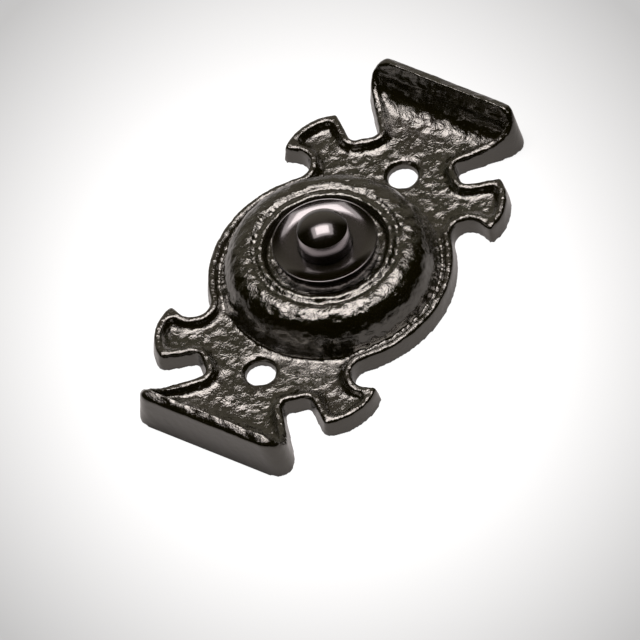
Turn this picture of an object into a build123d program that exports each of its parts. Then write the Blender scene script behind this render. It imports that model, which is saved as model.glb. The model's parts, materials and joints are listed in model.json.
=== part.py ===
from build123d import *
import os
from math import cos, radians, sin, tan

os.makedirs("parts", exist_ok=True)

# Door bell push: a cast iron plate with a hollow boss, and a moulded push unit clamped in the boss.
# Millimetres. The origin is the centre of the plate's back face, +Z out of the face, +Y along the plate.

# Outline of the cast plate, measured on its back face
plate_length = 88.8
disc_diameter = 47.0
tail_width = 33.0
tail_length = 13.3
tail_flat = 4.3
tail_corner = 2.8
root_half_width = 8.7
slot_offset = 3.5
slot_depth = 3.0
prong_reach = 5.7
prong_rise = 4.3
prong_bulge_share = 0.183946
throat_radius = 2.8
throat_angle = 43.0
throat_open = 72.0
tip_out = 3.6
tip_up = 1.8
cast_draft = 9.0
flare_round = 6.0
tip_round = 0.8
prong_round = 1.3
slot_round = 1.0
root_round = 0.8

# Heights of the cast plate
rim_height = 4.0
rim_width = 2.1
pocket_round = 1.6
pocket_corner = 1.2
web_height = 2.4
tail_height = 9.8
tail_edge_height = 8.8
tail_crest_inset = 1.9
tail_crest_round = 2.6
tail_rise_start = 9.5
tail_floor_start = 8.4
tail_floor_top = 3.6

# Boss, hollow at the back
flange_width = 2.7
bead_radius = 12.3
bead_height = 10.6
valley_radius = 13.5
valley_height = 9.95
crest_radius = 14.4
crest_height = 10.4
brow_radius = 17.1
brow_height = 9.6
brow_slope = 32.0
recess_radius = 11.5
seat_height = 8.5
seat_thickness = 2.4
boss_wall = 2.9
boss_sink = 0.3
bead_drop = 0.9
cavity_draw = 0.3
cavity_bend = 4.2
cavity_top = 7.3

# Wood screw holes through the plate
hole_radius = 2.75
hole_lip = 1.1
hole_pitch = 51.2

# Push cup
cup_radius = 9.9
cup_rim_height = 11.9
cup_lip = 0.4
dish_radius = 6.9
dish_depth = 1.0
barrel_radius = 8.5
barrel_bore = 6.1
barrel_end = 3.3
shoulder_height = 7.6

# Button
button_radius = 5.1
button_head_radius = 4.75
button_edge_height = 15.3
button_dome_radius = 6.4
button_edge_round = 0.15
button_cone_height = 2.1
flange_radius = 5.8
flange_thickness = 0.9
stem_radius = 1.6
pin_radius = 1.0
travel = 1.5

# Clamp ring parts
washer_outer = 11.4
washer_thickness = 0.6
nut_across_flats = 20.0
nut_thickness = 1.8

# Contact base and its metal parts
base_thickness = 1.4
base_length = 33.0
base_wing_width = 7.0
base_hole = 2.35
strip_thickness = 0.25
strip_width = 3.0
strip_leg = 5.0
strip_inner = 2.5
strip_tail = 2.4
pip_radius = 0.35
pip_rise = 0.2
terminal_spread = 13.4
terminal_shank = 1.25
terminal_head = 2.3
terminal_head_height = 1.0
terminal_nut_flats = 5.0
terminal_nut_height = 1.2
terminal_tail = 0.3
small_washer_thickness = 0.25
base_screw_circle = 7.3
base_screw_shank = 0.7
base_screw_head = 1.5
base_screw_head_height = 1.0
base_screw_length = 3.4
slot_cut_width = 0.5
slot_cut_depth = 0.45
head_round = 0.3
nut_chamfer = 0.25

# Return spring and bridge
spring_radius = 4.6
spring_wire = 0.35
spring_turns = 3.5
bridge_radius = 3.6
bridge_thickness = 0.3
clip_radius = 2.0
clip_thickness = 0.4
clip_slit_length = 0.6
clip_slit_width = 0.3

# Clearances
running_gap = 0.1
assembly_gap = 0.1
thread_gap = 0.03
free_gap = 0.3
contact_gap = 0.05

# Places that follow from the sizes above
half_length = plate_length / 2
disc_radius = disc_diameter / 2
tail_half = tail_width / 2
root_y = half_length - tail_length
root = (root_half_width, root_y)
slot_corner = (root_half_width + slot_offset, root_y - slot_depth)
prong_corner = (slot_corner[0] + prong_reach, slot_corner[1] + prong_rise)
throat_distance = disc_radius + throat_radius
throat = (throat_distance * cos(radians(throat_angle)), throat_distance * sin(radians(throat_angle)))
tip = (throat[0] + tip_out, throat[1] + tip_up)
prong_length = ((prong_corner[0] - tip[0]) ** 2 + (prong_corner[1] - tip[1]) ** 2) ** 0.5
past_end = half_length + 2 * tail_height * tan(radians(cast_draft))
boss_foot = disc_radius - flange_width
hole_y = hole_pitch / 2
cavity_radius = boss_foot - boss_wall
cavity_seat_radius = washer_outer + 2 * assembly_gap
seat_under = seat_height - seat_thickness
button_bore = button_radius + running_gap
dish_floor = cup_rim_height - dish_depth
button_sagitta = button_dome_radius - (button_dome_radius ** 2 - button_head_radius ** 2) ** 0.5
button_top = button_edge_height + button_sagitta
flange_top = shoulder_height - contact_gap
flange_under = flange_top - flange_thickness
base_top = barrel_end
base_under = base_top - base_thickness
spring_length = flange_under - base_top
leg_middle = strip_leg + strip_thickness / 2
groove_length = 2 * leg_middle + strip_thickness + 2 * contact_gap
head_seat = base_under - strip_thickness - small_washer_thickness
pip_top = base_top + pip_rise
bridge_top = pip_top + contact_gap + travel + bridge_thickness
pin_end = bridge_top - bridge_thickness - 2 * clip_thickness


# Outline of the cast plate: one quarter is drawn and mirrored across both axes
with BuildSketch() as quarter:
    with BuildLine():
        flare = Line(root, (tail_half, half_length - tail_flat))
        side = Line(flare @ 1, (tail_half, past_end))
        Polyline(side @ 1, (0, past_end), (0, 0), (disc_radius, 0))
        CenterArc((0, 0), disc_radius, 0, throat_angle)
        hollow = CenterArc(throat, throat_radius, 180 + throat_angle, throat_open - 180 - throat_angle)
        Line(hollow @ 1, tip)
        SagittaArc(tip, prong_corner, -prong_bulge_share * prong_length)
        Polyline(prong_corner, slot_corner, root)
    make_face()
    for corner, radius in (
        (flare @ 1, flare_round),
        (tip, tip_round),
        (prong_corner, prong_round),
        (slot_corner, slot_round),
        (root, root_round),
    ):
        fillet(quarter.vertices().sort_by_distance(corner)[0], radius)

with BuildSketch() as outline:
    add(quarter.sketch)
    mirror(about=Plane.YZ)
    mirror(about=Plane.XZ)

with BuildSketch() as pocket_outline:
    add(outline.sketch)
    offset(amount=-rim_width - pocket_corner, kind=Kind.INTERSECTION)
    offset(amount=pocket_corner, kind=Kind.ARC)

# Outline of one raised tail, which runs down into the neck
with BuildSketch() as tail_outline:
    with BuildLine():
        flare = Line(root, (tail_half, half_length - tail_flat))
        Polyline(
            flare @ 1,
            (tail_half, past_end),
            (0, past_end),
            (0, slot_corner[1]),
            (root_half_width / 2, slot_corner[1]),
            root,
        )
    make_face()
    fillet(tail_outline.vertices().sort_by_distance(flare @ 1)[0], flare_round)
    mirror(about=Plane.YZ)

# Space above the plate: flat over the middle, then up a hollow curve to the crest of each end
with BuildPart() as above:
    with BuildSketch(Plane.YZ):
        with BuildLine():
            crest = (half_length - tail_crest_inset, tail_height)
            rise = (half_length - tail_rise_start, rim_height)
            level = Line((0, rim_height), rise)
            climb = TangentArc(rise, crest, tangent=level % 1)
            over = Line(crest, (half_length, tail_edge_height))
            Polyline(
                over @ 1,
                (past_end, tail_edge_height),
                (past_end, 2 * tail_height),
                (0, 2 * tail_height),
                level @ 0,
            )
        make_face()
    extrude(amount=plate_length, both=True)
    mirror(about=Plane.XZ)
    # Rounded top corners of the ends
    with BuildSketch(Plane.XZ):
        with BuildLine():
            crown = Line((0, tail_height), (tail_half - 2 * tail_crest_round, tail_height))
            corner = TangentArc(
                crown @ 1,
                (tail_half - tail_crest_round / 2, tail_height - tail_crest_round),
                tangent=crown % 1,
            )
            Polyline(
                corner @ 1,
                (2 * tail_half, tail_height - tail_crest_round),
                (2 * tail_half, 2 * tail_height),
                (0, 2 * tail_height),
                crown @ 0,
            )
        make_face()
        mirror(about=Plane.YZ)
    extrude(amount=plate_length, both=True)

# Space above the sunk web, with a hollow round from the web up to the rim
with BuildPart() as pocket:
    with BuildSketch(Plane.XY.offset(web_height)):
        add(pocket_outline.sketch)
    extrude(amount=2 * tail_height)
    fillet(pocket.faces().sort_by(Axis.Z)[0].edges(), pocket_round)
    with BuildSketch(Plane.YZ):
        with BuildLine():
            floor_crest = (half_length - tail_floor_top, tail_height)
            floor_rise = (half_length - tail_floor_start, web_height)
            level = Line((0, web_height), floor_rise)
            climb = TangentArc(floor_rise, floor_crest, tangent=level % 1)
            Polyline(
                climb @ 1,
                (half_length - tail_floor_top, 3 * tail_height),
                (past_end, 3 * tail_height),
                (past_end, 0),
                (0, 0),
                level @ 0,
            )
        make_face()
        mirror(about=Plane.YZ)
    extrude(amount=plate_length, both=True, mode=Mode.SUBTRACT)

# The two raised tails, cut square at the ends of the plate
with BuildPart() as tails:
    with BuildSketch():
        add(tail_outline.sketch)
        mirror(about=Plane.XZ)
    extrude(amount=tail_height, taper=cast_draft)
    split(bisect_by=Plane.XZ.offset(half_length), keep=Keep.BOTTOM)
    split(bisect_by=Plane.XZ.offset(-half_length), keep=Keep.TOP)
    end_faces = tails.faces().filter_by(Axis.Y)
    ends = end_faces.group_by(Axis.Y)[0] + end_faces.group_by(Axis.Y)[-1]
    fillet(ends.edges().filter_by(lambda edge: edge.bounding_box().size.Z > tail_edge_height), tail_corner)

# Core of one screw hole, straight below and flared to a rounded mouth
with BuildPart() as screw_hole:
    with BuildSketch(Plane.XZ):
        with BuildLine():
            bore = Line((hole_radius, 0), (hole_radius, web_height - hole_lip))
            mouth = TangentArc(bore @ 1, (hole_radius + hole_lip, web_height), tangent=bore % 1)
            Polyline(mouth @ 1, (hole_radius + hole_lip, rim_height), (0, rim_height), (0, 0), bore @ 0)
        make_face()
    revolve(axis=Axis.Z)

# Cast plate
with BuildPart() as backplate:
    with BuildSketch():
        add(outline.sketch)
    extrude(amount=rim_height, taper=cast_draft)
    split(bisect_by=Plane.XZ.offset(half_length), keep=Keep.BOTTOM)
    split(bisect_by=Plane.XZ.offset(-half_length), keep=Keep.TOP)
    end_faces = backplate.faces().filter_by(Axis.Y)
    ends = end_faces.group_by(Axis.Y)[0] + end_faces.group_by(Axis.Y)[-1]
    fillet(ends.edges().filter_by(lambda edge: edge.bounding_box().size.Z > rim_height / 2), tail_corner)
    add(tails.part)
    add(above.part, mode=Mode.SUBTRACT)
    add(pocket.part, mode=Mode.SUBTRACT)
    # Boss with its shoulder, valley and inner bead, turned about the centre
    with BuildSketch(Plane.XZ):
        with BuildLine():
            face = Spline(
                (boss_foot, web_height - boss_sink),
                (brow_radius, brow_height),
                (crest_radius, crest_height),
                (valley_radius, valley_height),
                (bead_radius, bead_height),
                (recess_radius, bead_height - bead_drop),
                tangents=(
                    (-0.3, 1),
                    (-cos(radians(brow_slope)), sin(radians(brow_slope))),
                    (-1, 0),
                    (-1, 0),
                    (-1, 0),
                    (0, -1),
                ),
            )
            Polyline(
                face @ 1,
                (recess_radius, seat_height),
                (0, seat_height),
                (0, 0),
                (boss_foot, 0),
                face @ 0,
            )
        make_face()
    revolve(axis=Axis.Z)
    # Hollow behind the boss
    with BuildSketch(Plane.XZ):
        with BuildLine():
            wall = Line((cavity_radius, 0), (cavity_radius - cavity_draw, cavity_bend))
            roof = Spline(wall @ 1, (crest_radius, cavity_top), tangents=(wall % 1, (-1, 0)))
            Polyline(
                roof @ 1,
                (valley_radius, cavity_top),
                (cavity_seat_radius, seat_under),
                (0, seat_under),
                (0, 0),
                wall @ 0,
            )
        make_face()
    revolve(axis=Axis.Z, mode=Mode.SUBTRACT)
    with Locations((0, 0, seat_height)):
        Hole(barrel_radius + assembly_gap)
    with Locations((0, hole_y, 0), (0, -hole_y, 0)):
        add(screw_hole.part, mode=Mode.SUBTRACT)
backplate.part.label = "backplate"
export_step(backplate.part, "parts/backplate.step")

# Push cup: polished dish, flat shoulder and threaded barrel in one moulding
with BuildPart() as push_cup:
    with BuildSketch(Plane.XZ):
        with BuildLine():
            rim = Line((cup_radius, seat_height), (cup_radius, cup_rim_height - cup_lip / 2))
            lip = ThreePointArc(
                rim @ 1,
                (cup_radius - cup_lip / 2, cup_rim_height),
                (cup_radius - cup_lip, cup_rim_height - cup_lip / 2),
            )
            floor_line = Line((button_bore, dish_floor), (dish_radius, dish_floor))
            dish = TangentArc(floor_line @ 1, lip @ 1, tangent=floor_line % 1)
            Polyline(
                floor_line @ 0,
                (button_bore, shoulder_height),
                (barrel_bore, shoulder_height),
                (barrel_bore, barrel_end),
                (barrel_radius, barrel_end),
                (barrel_radius, seat_height),
                rim @ 0,
            )
        make_face()
    revolve(axis=Axis.Z)
    with PolarLocations(base_screw_circle, 2, start_angle=90):
        with Locations((0, 0, barrel_end)):
            Cylinder(
                base_screw_shank + thread_gap,
                base_screw_length - base_thickness + free_gap,
                align=(Align.CENTER, Align.CENTER, Align.MIN),
                mode=Mode.SUBTRACT,
            )
push_cup.part.label = "push_cup"
export_step(push_cup.part, "parts/push_cup.step")

# Button: domed head on a plain skirt, a stop flange, a stem and a pin for the bridge
with BuildPart() as push_button:
    with BuildSketch(Plane.XZ) as button_profile:
        with BuildLine():
            dome = RadiusArc((0, button_top), (button_head_radius, button_edge_height), button_dome_radius)
            Polyline(
                dome @ 1,
                (button_radius, button_edge_height - button_cone_height),
                (button_radius, flange_top),
                (flange_radius, flange_top),
                (flange_radius, flange_under),
                (stem_radius, flange_under),
                (stem_radius, bridge_top),
                (pin_radius, bridge_top),
                (pin_radius, pin_end),
                (0, pin_end),
                (0, button_top),
            )
        make_face()
        fillet(button_profile.vertices().sort_by_distance(dome @ 1)[0], button_edge_round)
    revolve(axis=Axis.Z)
push_button.part.label = "push_button"
export_step(push_button.part, "parts/push_button.step")

# Return spring: a round wire coil with plain ends, between the base and the button's flange
with BuildPart() as return_spring:
    with BuildLine():
        coil = Helix(
            (spring_length - spring_wire) / spring_turns,
            spring_length - spring_wire,
            spring_radius,
            center=(0, 0, base_top + spring_wire / 2),
        )
    with BuildSketch(Plane(origin=coil @ 0, z_dir=coil % 0)):
        Circle(spring_wire / 2)
    sweep(is_frenet=True)
return_spring.part.label = "return_spring"
export_step(return_spring.part, "parts/return_spring.step")

# Bridge plate on the button's pin, and the push-on clip that holds it up
with BuildPart() as bridge_contact:
    with BuildSketch(Plane.XY.offset(bridge_top - bridge_thickness)):
        Circle(bridge_radius)
        Circle(pin_radius + thread_gap, mode=Mode.SUBTRACT)
    extrude(amount=bridge_thickness)
bridge_contact.part.label = "bridge_contact"
export_step(bridge_contact.part, "parts/bridge_contact.step")

with BuildPart() as bridge_clip:
    with BuildSketch(Plane.XY.offset(bridge_top - bridge_thickness - clip_thickness)):
        Circle(clip_radius)
        Circle(pin_radius + thread_gap, mode=Mode.SUBTRACT)
        with PolarLocations(pin_radius, 3):
            Rectangle(clip_slit_length, clip_slit_width, align=(Align.MIN, Align.CENTER), mode=Mode.SUBTRACT)
    extrude(amount=clip_thickness)
bridge_clip.part.label = "bridge_clip"
export_step(bridge_clip.part, "parts/bridge_clip.step")

# Washer and nut that clamp the cup in the plate
with BuildPart() as clamp_washer:
    with BuildSketch(Plane.XY.offset(seat_under - washer_thickness)):
        Circle(washer_outer)
        Circle(barrel_radius + assembly_gap, mode=Mode.SUBTRACT)
    extrude(amount=washer_thickness)
clamp_washer.part.label = "clamp_washer"
export_step(clamp_washer.part, "parts/clamp_washer.step")

with BuildPart() as clamp_nut:
    with BuildSketch(Plane.XY.offset(seat_under - washer_thickness - nut_thickness)):
        RegularPolygon(nut_across_flats / 2, 6, major_radius=False, rotation=30)
        Circle(barrel_radius + thread_gap, mode=Mode.SUBTRACT)
    extrude(amount=nut_thickness)
    chamfer(clamp_nut.faces().sort_by(Axis.Z)[0].outer_wire().edges(), 2 * nut_chamfer)
clamp_nut.part.label = "clamp_nut"
export_step(clamp_nut.part, "parts/clamp_nut.step")

# Contact base: a moulded plate across the end of the barrel, with slots for the contact strips
with BuildPart() as contact_base:
    with BuildSketch(Plane.XY.offset(base_under)):
        Circle(barrel_radius)
        SlotOverall(base_length, base_wing_width)
        Circle(base_hole, mode=Mode.SUBTRACT)
        with Locations((-terminal_spread, 0), (terminal_spread, 0)):
            Circle(terminal_shank + thread_gap, mode=Mode.SUBTRACT)
        with PolarLocations(base_screw_circle, 2, start_angle=90):
            Circle(base_screw_shank + assembly_gap, mode=Mode.SUBTRACT)
    extrude(amount=base_thickness)
    # Slots for the legs of the strips, and a groove that lets the strips lie flush with the top
    with BuildSketch(Plane.XY.offset(base_under)):
        with Locations((-leg_middle, 0), (leg_middle, 0)):
            Rectangle(strip_thickness + 2 * contact_gap, strip_width + 2 * contact_gap)
    extrude(amount=base_thickness, mode=Mode.SUBTRACT)
    with BuildSketch(Plane.XY.offset(base_top)):
        Rectangle(groove_length, strip_width + 2 * contact_gap)
    extrude(amount=-strip_thickness, mode=Mode.SUBTRACT)
contact_base.part.label = "contact_base"
export_step(contact_base.part, "parts/contact_base.step")

# Left and right halves of the contact set, each with its strip, screw, washer and nut
for side, name in ((-1, "left"), (1, "right")):
    terminal_x = side * terminal_spread
    outer_leg = side * (strip_leg + strip_thickness)
    tail_end = side * (terminal_spread + strip_tail)

    with BuildPart() as contact_strip:
        with BuildSketch(Plane.XZ):
            with BuildLine():
                Polyline(
                    (side * strip_inner, base_top),
                    (outer_leg, base_top),
                    (outer_leg, base_under),
                    (tail_end, base_under),
                    (tail_end, base_under - strip_thickness),
                    (side * strip_leg, base_under - strip_thickness),
                    (side * strip_leg, base_top - strip_thickness),
                    (side * strip_inner, base_top - strip_thickness),
                    close=True,
                )
            make_face()
        extrude(amount=strip_width / 2, both=True)
        with Locations((side * (strip_inner + pip_radius), 0, base_top)):
            Cylinder(pip_radius, pip_rise, align=(Align.CENTER, Align.CENTER, Align.MIN))
        with Locations((terminal_x, 0, base_under)):
            Hole(terminal_shank + thread_gap, depth=2 * strip_thickness)
    contact_strip.part.label = f"contact_strip_{name}"
    export_step(contact_strip.part, f"parts/contact_strip_{name}.step")

    with BuildPart() as terminal_washer:
        with BuildSketch(Plane((terminal_x, 0, head_seat))):
            Circle(terminal_head + assembly_gap)
            Circle(terminal_shank + thread_gap, mode=Mode.SUBTRACT)
        extrude(amount=small_washer_thickness)
    terminal_washer.part.label = f"terminal_washer_{name}"
    export_step(terminal_washer.part, f"parts/terminal_washer_{name}.step")

    with BuildPart() as terminal_screw:
        with BuildSketch(Plane((terminal_x, 0, head_seat))):
            Circle(terminal_head)
        extrude(amount=-terminal_head_height)
        fillet(terminal_screw.faces().sort_by(Axis.Z)[0].edges(), head_round)
        with BuildSketch(Plane((terminal_x, 0, head_seat))):
            Circle(terminal_shank)
        extrude(amount=base_top + terminal_nut_height + terminal_tail - head_seat)
        with BuildSketch(Plane((terminal_x, 0, head_seat - terminal_head_height))):
            Rectangle(3 * terminal_head, slot_cut_width)
        extrude(amount=slot_cut_depth, mode=Mode.SUBTRACT)
    terminal_screw.part.label = f"terminal_screw_{name}"
    export_step(terminal_screw.part, f"parts/terminal_screw_{name}.step")

    with BuildPart() as terminal_nut:
        with BuildSketch(Plane((terminal_x, 0, base_top))):
            RegularPolygon(terminal_nut_flats / 2, 6, major_radius=False, rotation=30)
            Circle(terminal_shank + thread_gap, mode=Mode.SUBTRACT)
        extrude(amount=terminal_nut_height)
        chamfer(terminal_nut.faces().sort_by(Axis.Z)[-1].outer_wire().edges(), nut_chamfer)
    terminal_nut.part.label = f"terminal_nut_{name}"
    export_step(terminal_nut.part, f"parts/terminal_nut_{name}.step")

# The two screws that hold the contact base on the barrel
for side, name in ((-1, "lower"), (1, "upper")):
    screw_y = side * base_screw_circle
    with BuildPart() as base_screw:
        with BuildSketch(Plane((0, screw_y, base_under))):
            Circle(base_screw_head)
        extrude(amount=-base_screw_head_height)
        fillet(base_screw.faces().sort_by(Axis.Z)[0].edges(), head_round)
        with BuildSketch(Plane((0, screw_y, base_under))):
            Circle(base_screw_shank)
        extrude(amount=base_screw_length)
        with BuildSketch(Plane((0, screw_y, base_under - base_screw_head_height))):
            Rectangle(3 * base_screw_head, slot_cut_width)
        extrude(amount=slot_cut_depth, mode=Mode.SUBTRACT)
    base_screw.part.label = f"base_screw_{name}"
    export_step(base_screw.part, f"parts/base_screw_{name}.step")
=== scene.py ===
import json
import math

import bpy
from mathutils import Matrix, Vector

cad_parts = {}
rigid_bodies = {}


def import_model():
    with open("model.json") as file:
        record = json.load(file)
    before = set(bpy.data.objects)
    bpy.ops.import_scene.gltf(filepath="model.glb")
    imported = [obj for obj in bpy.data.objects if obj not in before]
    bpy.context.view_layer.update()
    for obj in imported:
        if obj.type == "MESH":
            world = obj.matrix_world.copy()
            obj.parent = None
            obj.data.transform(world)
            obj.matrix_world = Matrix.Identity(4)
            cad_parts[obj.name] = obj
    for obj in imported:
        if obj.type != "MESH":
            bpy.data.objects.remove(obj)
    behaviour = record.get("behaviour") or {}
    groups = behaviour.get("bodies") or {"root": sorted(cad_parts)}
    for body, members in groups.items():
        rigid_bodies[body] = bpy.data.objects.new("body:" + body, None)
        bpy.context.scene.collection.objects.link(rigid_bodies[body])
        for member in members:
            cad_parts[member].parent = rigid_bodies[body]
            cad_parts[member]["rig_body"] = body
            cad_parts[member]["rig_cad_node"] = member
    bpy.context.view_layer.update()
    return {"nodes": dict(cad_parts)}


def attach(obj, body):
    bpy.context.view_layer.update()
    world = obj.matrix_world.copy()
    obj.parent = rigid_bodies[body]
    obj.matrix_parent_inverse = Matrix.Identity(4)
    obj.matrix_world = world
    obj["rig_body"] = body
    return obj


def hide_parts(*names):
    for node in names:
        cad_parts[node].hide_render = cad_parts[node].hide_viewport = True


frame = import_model()
nodes = frame["nodes"]
bpy.context.scene.view_settings.view_transform = "Standard"

MM = 0.001


def linear(level):
    """Linear light of one sRGB level between 0 and 1."""
    return level / 12.92 if level < 0.04045 else ((level + 0.055) / 1.055) ** 2.4


def colour(code):
    """Linear red, green, blue and alpha of an sRGB colour written as in "#1c1a10"."""
    return [linear(int(code[place : place + 2], 16) / 255) for place in (1, 3, 5)] + [1.0]


def node(tree, kind, links=(), inputs=(), **settings):
    """One node of a material with its settings, its input values and the links that feed it."""
    made = tree.nodes.new(kind)
    for name, value in settings.items():
        setattr(made, name, value)
    for name, value in dict(inputs).items():
        made.inputs[name].default_value = value
    for name, source in dict(links).items():
        tree.links.new(source, made.inputs[name])
    return made


def blank(name):
    """A new material and its empty tree."""
    made = bpy.data.materials.new(name)
    made.use_nodes = True
    made.node_tree.nodes.clear()
    return made, made.node_tree


def paint(piece, material):
    """Gives a piece that one material."""
    piece.data.materials.clear()
    piece.data.materials.append(material)


# Camera at the photo's viewpoint: a long way off with a long lens, turned a little
image_size = 640
image_middle = image_size / 2
origin_x, origin_y = 333.02, 279.63
distance = 3.70067
azimuth, elevation, roll = math.radians(40.883), math.radians(50.998), math.radians(-12.349)
pixels_at_one_metre = 20000
sensor_width = 36

to_camera = Vector(
    (math.sin(azimuth) * math.cos(elevation), -math.cos(azimuth) * math.cos(elevation), math.sin(elevation))
)
level_right = Vector((math.cos(azimuth), math.sin(azimuth), 0))
level_up = to_camera.cross(level_right)
right = level_right * math.cos(roll) + level_up * math.sin(roll)
up = level_up * math.cos(roll) - level_right * math.sin(roll)
aim = -right * (origin_x - image_middle) - up * (image_middle - origin_y)
aim *= distance / pixels_at_one_metre
eye = aim + to_camera * distance

bpy.ops.object.select_all(action="DESELECT")
bpy.ops.object.camera_add()
camera = bpy.context.object
camera.name = "photo_camera"
camera.data.sensor_width = sensor_width
camera.data.lens = pixels_at_one_metre / image_size * sensor_width
camera.data.clip_end = 100
camera.matrix_world = Matrix(
    [[right[row], up[row], to_camera[row], eye[row]] for row in range(3)] + [[0, 0, 0, 1]]
)
bpy.context.scene.camera = camera

# Light: one big softbox overhead, its long side across the view. A smaller lamp just under the cloth
# makes its middle brighter than its edge.
softbox_x, softbox_y = -0.078, 0.09
lamp_colour = (1.0, 0.94, 0.94)
for name, height, length, width, watts in (
    ("softbox_cloth", 0.9, 1.15, 0.7, 4.8),
    ("softbox_bright_middle", 0.87, 0.64, 0.44, 4.0),
):
    bpy.ops.object.light_add(type="AREA", location=(softbox_x, softbox_y, height), rotation=(0, 0, azimuth))
    softbox = bpy.context.object
    softbox.name = name
    softbox.data.shape = "RECTANGLE"
    softbox.data.size = length
    softbox.data.size_y = width
    softbox.data.energy = watts
    softbox.data.color = lamp_colour
    softbox.visible_camera = False

# Studio round the object: dark in front, palest behind it and a little above the floor
behind_level, behind_lift = 0.98, 0.17
dark_until, pale_from = 0.45, 0.95
world = bpy.data.worlds.new("studio")
bpy.context.scene.world = world
world.use_nodes = True
studio = world.node_tree
studio.nodes.clear()
where = node(studio, "ShaderNodeTexCoord")
behind = node(
    studio,
    "ShaderNodeVectorMath",
    {0: where.outputs["Generated"]},
    {1: (-behind_level * math.sin(azimuth), behind_level * math.cos(azimuth), behind_lift)},
    operation="DOT_PRODUCT",
)
share = node(
    studio,
    "ShaderNodeMapRange",
    {"Value": behind.outputs["Value"]},
    {"From Min": dark_until, "From Max": pale_from},
    interpolation_type="SMOOTHSTEP",
)
tone = node(
    studio,
    "ShaderNodeMix",
    {"Factor": share.outputs["Result"]},
    {"A": colour("#080704"), "B": colour("#837e74")},
    data_type="RGBA",
)
glow = node(studio, "ShaderNodeBackground", {"Color": tone.outputs["Result"]}, {"Strength": 1.0})
node(studio, "ShaderNodeOutputWorld", {"Surface": glow.outputs["Background"]})

# Floor: smooth white board with a painted pool of light on it: white in the middle, with painted shade
# greying it towards the corners of the picture. The camera sees it partly lit from within, and reflections
# in the object show it as plain, slightly greyer paper.
corner_pixels = 440
painted_shade_starts = 0.47
camera_glow_share = 0.6
camera_glow = 1.6
corner_reach = corner_pixels * distance / pixels_at_one_metre
picture_middle = aim - to_camera * aim.z / to_camera.z

bpy.ops.mesh.primitive_plane_add(size=40, location=(0, 0, 0))
floor = bpy.context.object
floor.name = "white_board_floor"
board, tree = blank("white_board_matt_paper")
place = node(tree, "ShaderNodeTexCoord")
spot = node(
    tree,
    "ShaderNodeMapping",
    {"Vector": place.outputs["Object"]},
    {
        "Location": picture_middle,
        "Rotation": (0, 0, azimuth),
        "Scale": (corner_reach, corner_reach / math.sin(elevation), 1),
    },
    vector_type="TEXTURE",
)
reach = node(tree, "ShaderNodeVectorMath", {0: spot.outputs["Vector"]}, operation="LENGTH")
# Painted shade: the board's colour darkens from white to grey with distance from the picture's middle
painted_shade_falloff = node(
    tree,
    "ShaderNodeMapRange",
    {"Value": reach.outputs["Value"]},
    {"From Min": painted_shade_starts, "From Max": 1.0},
)
shade = node(
    tree,
    "ShaderNodeMix",
    {"Factor": painted_shade_falloff.outputs["Result"]},
    {"A": colour("#ffffff"), "B": colour("#bababa")},
    data_type="RGBA",
)
path = node(tree, "ShaderNodeLightPath")
seen = node(
    tree,
    "ShaderNodeMath",
    {0: path.outputs["Is Camera Ray"]},
    {1: camera_glow_share},
    operation="MULTIPLY",
)
plain_shade = node(
    tree,
    "ShaderNodeMix",
    {"A": shade.outputs["Result"]},
    {"Factor": 1.0, "B": colour("#bdbcba")},
    data_type="RGBA",
    blend_type="MULTIPLY",
)
paper = node(tree, "ShaderNodeBsdfDiffuse", {"Color": plain_shade.outputs["Result"]})
lit = node(tree, "ShaderNodeEmission", {"Color": shade.outputs["Result"]}, {"Strength": camera_glow})
both = node(
    tree,
    "ShaderNodeMixShader",
    {0: seen.outputs["Value"], 1: paper.outputs["BSDF"], 2: lit.outputs["Emission"]},
)
node(tree, "ShaderNodeOutputMaterial", {"Surface": both.outputs["Shader"]})
paint(floor, board)

# Black enamel over a sand casting: a wet gloss broken into crinkles about a millimetre across, with sharp
# creases between them. The crinkle is full where a face lies up and faint on steep walls.
enamel, tree = blank("black_enamel_on_sand_cast_iron")
place = node(tree, "ShaderNodeTexCoord")
grain = node(
    tree,
    "ShaderNodeTexNoise",
    {"Vector": place.outputs["Object"]},
    {"Scale": 1 / (1.35 * MM), "Detail": 3.0, "Roughness": 0.6, "Distortion": 0.5},
)
offset = node(tree, "ShaderNodeMath", {0: grain.outputs["Fac"]}, {1: 0.5}, operation="SUBTRACT")
crinkle = node(tree, "ShaderNodeMath", {0: offset.outputs["Value"]}, operation="ABSOLUTE")
facing = node(tree, "ShaderNodeAttribute", attribute_name="facing_up")
lying = node(
    tree,
    "ShaderNodeMapRange",
    {"Value": facing.outputs["Fac"]},
    {"From Min": 0.6, "From Max": 0.92, "To Min": 0.3, "To Max": 1.0},
)
cloud = node(
    tree,
    "ShaderNodeTexNoise",
    {"Vector": place.outputs["Object"]},
    {"Scale": 1 / (6 * MM), "Detail": 2.0},
)
body_tone = node(
    tree,
    "ShaderNodeMix",
    {"Factor": cloud.outputs["Fac"]},
    {"A": colour("#0e0c01"), "B": colour("#151204")},
    data_type="RGBA",
)
gloss = node(
    tree,
    "ShaderNodeMapRange",
    {"Value": cloud.outputs["Fac"]},
    {"From Min": 0.3, "From Max": 0.7, "To Min": 0.14, "To Max": 0.22},
)
relief = node(
    tree,
    "ShaderNodeBump",
    {"Height": crinkle.outputs["Value"], "Strength": lying.outputs["Result"]},
    {"Distance": 0.24 * MM},
)
skin = node(
    tree,
    "ShaderNodeBsdfPrincipled",
    {
        "Base Color": body_tone.outputs["Result"],
        "Roughness": gloss.outputs["Result"],
        "Normal": relief.outputs["Normal"],
        "Coat Normal": relief.outputs["Normal"],
    },
    {
        "IOR": 1.75,
        "Specular Tint": colour("#fff6e4"),
        "Coat Weight": 1.0,
        "Coat Roughness": 0.05,
        "Coat IOR": 1.75,
    },
)
node(tree, "ShaderNodeOutputMaterial", {"Surface": skin.outputs["BSDF"]})

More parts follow.
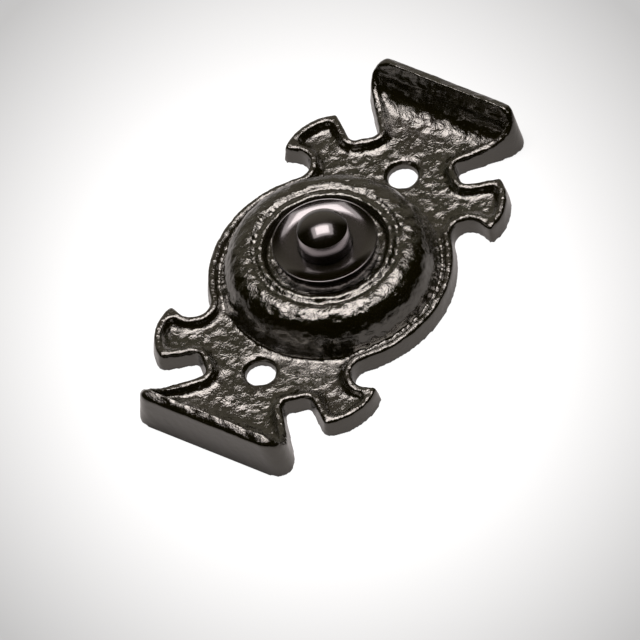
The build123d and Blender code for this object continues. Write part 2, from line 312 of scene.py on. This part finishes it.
# Black phenolic, compression moulded and polished by the mould: deep gloss, very slightly uneven
phenolic, tree = blank("black_phenolic_polished_moulding")
place = node(tree, "ShaderNodeTexCoord")
ripple = node(
    tree,
    "ShaderNodeTexNoise",
    {"Vector": place.outputs["Object"]},
    {"Scale": 1 / (0.5 * MM), "Detail": 3.0},
)
wear = node(
    tree,
    "ShaderNodeMapRange",
    {"Value": ripple.outputs["Fac"]},
    {"From Min": 0.3, "From Max": 0.7, "To Min": 0.16, "To Max": 0.22},
)
faint = node(
    tree,
    "ShaderNodeBump",
    {"Height": ripple.outputs["Fac"]},
    {"Strength": 0.12, "Distance": 0.02 * MM},
)
skin = node(
    tree,
    "ShaderNodeBsdfPrincipled",
    {"Roughness": wear.outputs["Result"], "Normal": faint.outputs["Normal"]},
    {
        "Base Color": colour("#0b0900"),
        "IOR": 1.8,
        "Coat Weight": 1.0,
        "Coat Roughness": 0.11,
        "Coat IOR": 1.8,
        "Specular Tint": colour("#fff0f2"),
    },
)
node(tree, "ShaderNodeOutputMaterial", {"Surface": skin.outputs["BSDF"]})

# Dark phenolic of the contact base, straight from a plain mould: dull, with a fine flow grain
base_phenolic, tree = blank("brown_phenolic_plain_moulding")
place = node(tree, "ShaderNodeTexCoord")
flow = node(
    tree,
    "ShaderNodeTexNoise",
    {"Vector": place.outputs["Object"]},
    {"Scale": 1 / (0.7 * MM), "Detail": 5.0, "Distortion": 0.6},
)
flow_tone = node(
    tree,
    "ShaderNodeMix",
    {"Factor": flow.outputs["Fac"]},
    {"A": colour("#1d1712"), "B": colour("#31261d")},
    data_type="RGBA",
)
grained = node(
    tree,
    "ShaderNodeBump",
    {"Height": flow.outputs["Fac"]},
    {"Strength": 0.3, "Distance": 0.03 * MM},
)
skin = node(
    tree,
    "ShaderNodeBsdfPrincipled",
    {"Base Color": flow_tone.outputs["Result"], "Normal": grained.outputs["Normal"]},
    {"Roughness": 0.45, "IOR": 1.6},
)
node(tree, "ShaderNodeOutputMaterial", {"Surface": skin.outputs["BSDF"]})

# Stamped brass: warm metal with a light tarnish and rolling lines along the strip, which are drawn coarser
# than real ones so that they show
brass, tree = blank("rolled_and_stamped_brass")
place = node(tree, "ShaderNodeTexCoord")
rolled = node(
    tree,
    "ShaderNodeMapping",
    {"Vector": place.outputs["Object"]},
    {"Scale": (1 / (4 * MM), 1 / (0.12 * MM), 1 / (0.12 * MM))},
)
lines = node(
    tree,
    "ShaderNodeTexNoise",
    {"Vector": rolled.outputs["Vector"]},
    {"Scale": 1.0, "Detail": 2.0},
)
tarnish = node(
    tree,
    "ShaderNodeTexNoise",
    {"Vector": place.outputs["Object"]},
    {"Scale": 1 / (2.5 * MM), "Detail": 3.0},
)
brass_tone = node(
    tree,
    "ShaderNodeMix",
    {"Factor": tarnish.outputs["Fac"]},
    {"A": colour("#a9823f"), "B": colour("#d6b56c")},
    data_type="RGBA",
)
brass_gloss = node(
    tree,
    "ShaderNodeMapRange",
    {"Value": lines.outputs["Fac"]},
    {"From Min": 0.3, "From Max": 0.7, "To Min": 0.24, "To Max": 0.4},
)
scored = node(
    tree,
    "ShaderNodeBump",
    {"Height": lines.outputs["Fac"]},
    {"Strength": 0.25, "Distance": 0.01 * MM},
)
skin = node(
    tree,
    "ShaderNodeBsdfPrincipled",
    {
        "Base Color": brass_tone.outputs["Result"],
        "Roughness": brass_gloss.outputs["Result"],
        "Normal": scored.outputs["Normal"],
    },
    {"Metallic": 1.0},
)
node(tree, "ShaderNodeOutputMaterial", {"Surface": skin.outputs["BSDF"]})

# Drawn spring wire: grey steel, drawn smooth, a little mottled
wire, tree = blank("drawn_spring_steel_wire")
place = node(tree, "ShaderNodeTexCoord")
mottle = node(
    tree,
    "ShaderNodeTexNoise",
    {"Vector": place.outputs["Object"]},
    {"Scale": 1 / (0.3 * MM), "Detail": 2.0},
)
wire_tone = node(
    tree,
    "ShaderNodeMix",
    {"Factor": mottle.outputs["Fac"]},
    {"A": colour("#77787a"), "B": colour("#9b9c9e")},
    data_type="RGBA",
)
skin = node(
    tree,
    "ShaderNodeBsdfPrincipled",
    {"Base Color": wire_tone.outputs["Result"]},
    {"Metallic": 1.0, "Roughness": 0.28},
)
node(tree, "ShaderNodeOutputMaterial", {"Surface": skin.outputs["BSDF"]})

# Turned steel with a thin zinc plating: pale blue grey, slightly cloudy
zinc, tree = blank("turned_steel_bright_zinc_plated")
place = node(tree, "ShaderNodeTexCoord")
bloom = node(
    tree,
    "ShaderNodeTexNoise",
    {"Vector": place.outputs["Object"]},
    {"Scale": 1 / (1.5 * MM), "Detail": 3.0},
)
zinc_tone = node(
    tree,
    "ShaderNodeMix",
    {"Factor": bloom.outputs["Fac"]},
    {"A": colour("#9fa3a8"), "B": colour("#c6c9cc")},
    data_type="RGBA",
)
zinc_gloss = node(
    tree,
    "ShaderNodeMapRange",
    {"Value": bloom.outputs["Fac"]},
    {"From Min": 0.3, "From Max": 0.7, "To Min": 0.22, "To Max": 0.36},
)
skin = node(
    tree,
    "ShaderNodeBsdfPrincipled",
    {"Base Color": zinc_tone.outputs["Result"], "Roughness": zinc_gloss.outputs["Result"]},
    {"Metallic": 1.0},
)
node(tree, "ShaderNodeOutputMaterial", {"Surface": skin.outputs["BSDF"]})

# Which material each CAD piece gets
finishes = {
    "push_cup": phenolic,
    "push_button": phenolic,
    "contact_base": base_phenolic,
    "return_spring": wire,
    "bridge_clip": wire,
    "bridge_contact": brass,
    "contact_strip_left": brass,
    "contact_strip_right": brass,
    "terminal_washer_left": brass,
    "terminal_washer_right": brass,
    "terminal_screw_left": brass,
    "terminal_screw_right": brass,
    "terminal_nut_left": brass,
    "terminal_nut_right": brass,
    "clamp_nut": brass,
    "clamp_washer": zinc,
    "base_screw_lower": zinc,
    "base_screw_upper": zinc,
    "backplate": enamel,
}
for name, material in finishes.items():
    paint(nodes[name], material)

# Enamelled casting: the CAD plate with its edges softened by the enamel and its faces uneven from the sand
merge_distance = 0.001 * MM
cast_voxel = 0.37 * MM
softening_rounds = 5
plain_height, blend_height = 0.2 * MM, 0.8 * MM
steep_share = 0.25
lying_gain = 1.6
lumps = (("sand_lumps", 2.3 * MM, 0.5 * MM), ("sand_grain", 0.9 * MM, 0.12 * MM))
inward_level = 0.75
shrink = 0.999
shrink_middle = (0, 0, 5 * MM)

bpy.ops.object.select_all(action="DESELECT")
casting = nodes["backplate"].copy()
casting.data = nodes["backplate"].data.copy()
casting.name = "enamelled_casting"
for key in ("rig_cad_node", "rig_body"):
    if key in casting:
        del casting[key]
bpy.context.scene.collection.objects.link(casting)
casting.parent = None
bpy.context.view_layer.objects.active = casting
casting.select_set(True)
bpy.ops.object.mode_set(mode="EDIT")
bpy.ops.mesh.select_all(action="SELECT")
bpy.ops.mesh.remove_doubles(threshold=merge_distance)
bpy.ops.object.mode_set(mode="OBJECT")

remesh = casting.modifiers.new("cast_skin", "REMESH")
remesh.mode = "VOXEL"
remesh.voxel_size = cast_voxel
bpy.ops.object.modifier_apply(modifier="cast_skin")
soften = casting.modifiers.new("soft_edges", "SMOOTH")
soften.factor = 0.5
soften.iterations = softening_rounds
bpy.ops.object.modifier_apply(modifier="soft_edges")

# How far each point faces up, for the enamel, and how much sand shows there: none at the flat back
facing_up = casting.data.attributes.new("facing_up", "FLOAT", "POINT")
facing_up.data.foreach_set("value", [point.normal.z for point in casting.data.vertices])
sand_faces = casting.vertex_groups.new(name="sand_faces")
for point in casting.data.vertices:
    above_back = max(0.0, min(1.0, (point.co.z - plain_height) / blend_height))
    lying_share = max(steep_share, min(1.0, lying_gain * point.normal.z))
    sand_faces.add([point.index], above_back * lying_share, "REPLACE")

# Lumps and grain of the sand, pushed mostly inwards, then a last slight shrink to stay inside the CAD box
for name, size, depth in lumps:
    texture = bpy.data.textures.new(name, "CLOUDS")
    texture.noise_scale = size
    texture.noise_depth = 2
    push = casting.modifiers.new(name, "DISPLACE")
    push.texture = texture
    push.texture_coords = "LOCAL"
    push.strength = depth
    push.mid_level = inward_level
    push.vertex_group = "sand_faces"
    bpy.ops.object.modifier_apply(modifier=name)
bpy.ops.object.mode_set(mode="EDIT")
bpy.ops.mesh.select_all(action="SELECT")
bpy.ops.transform.resize(value=(shrink, shrink, shrink), center_override=shrink_middle)
bpy.ops.object.mode_set(mode="OBJECT")
bpy.ops.object.shade_smooth()
paint(casting, enamel)
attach(casting, "plate")
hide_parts("backplate")
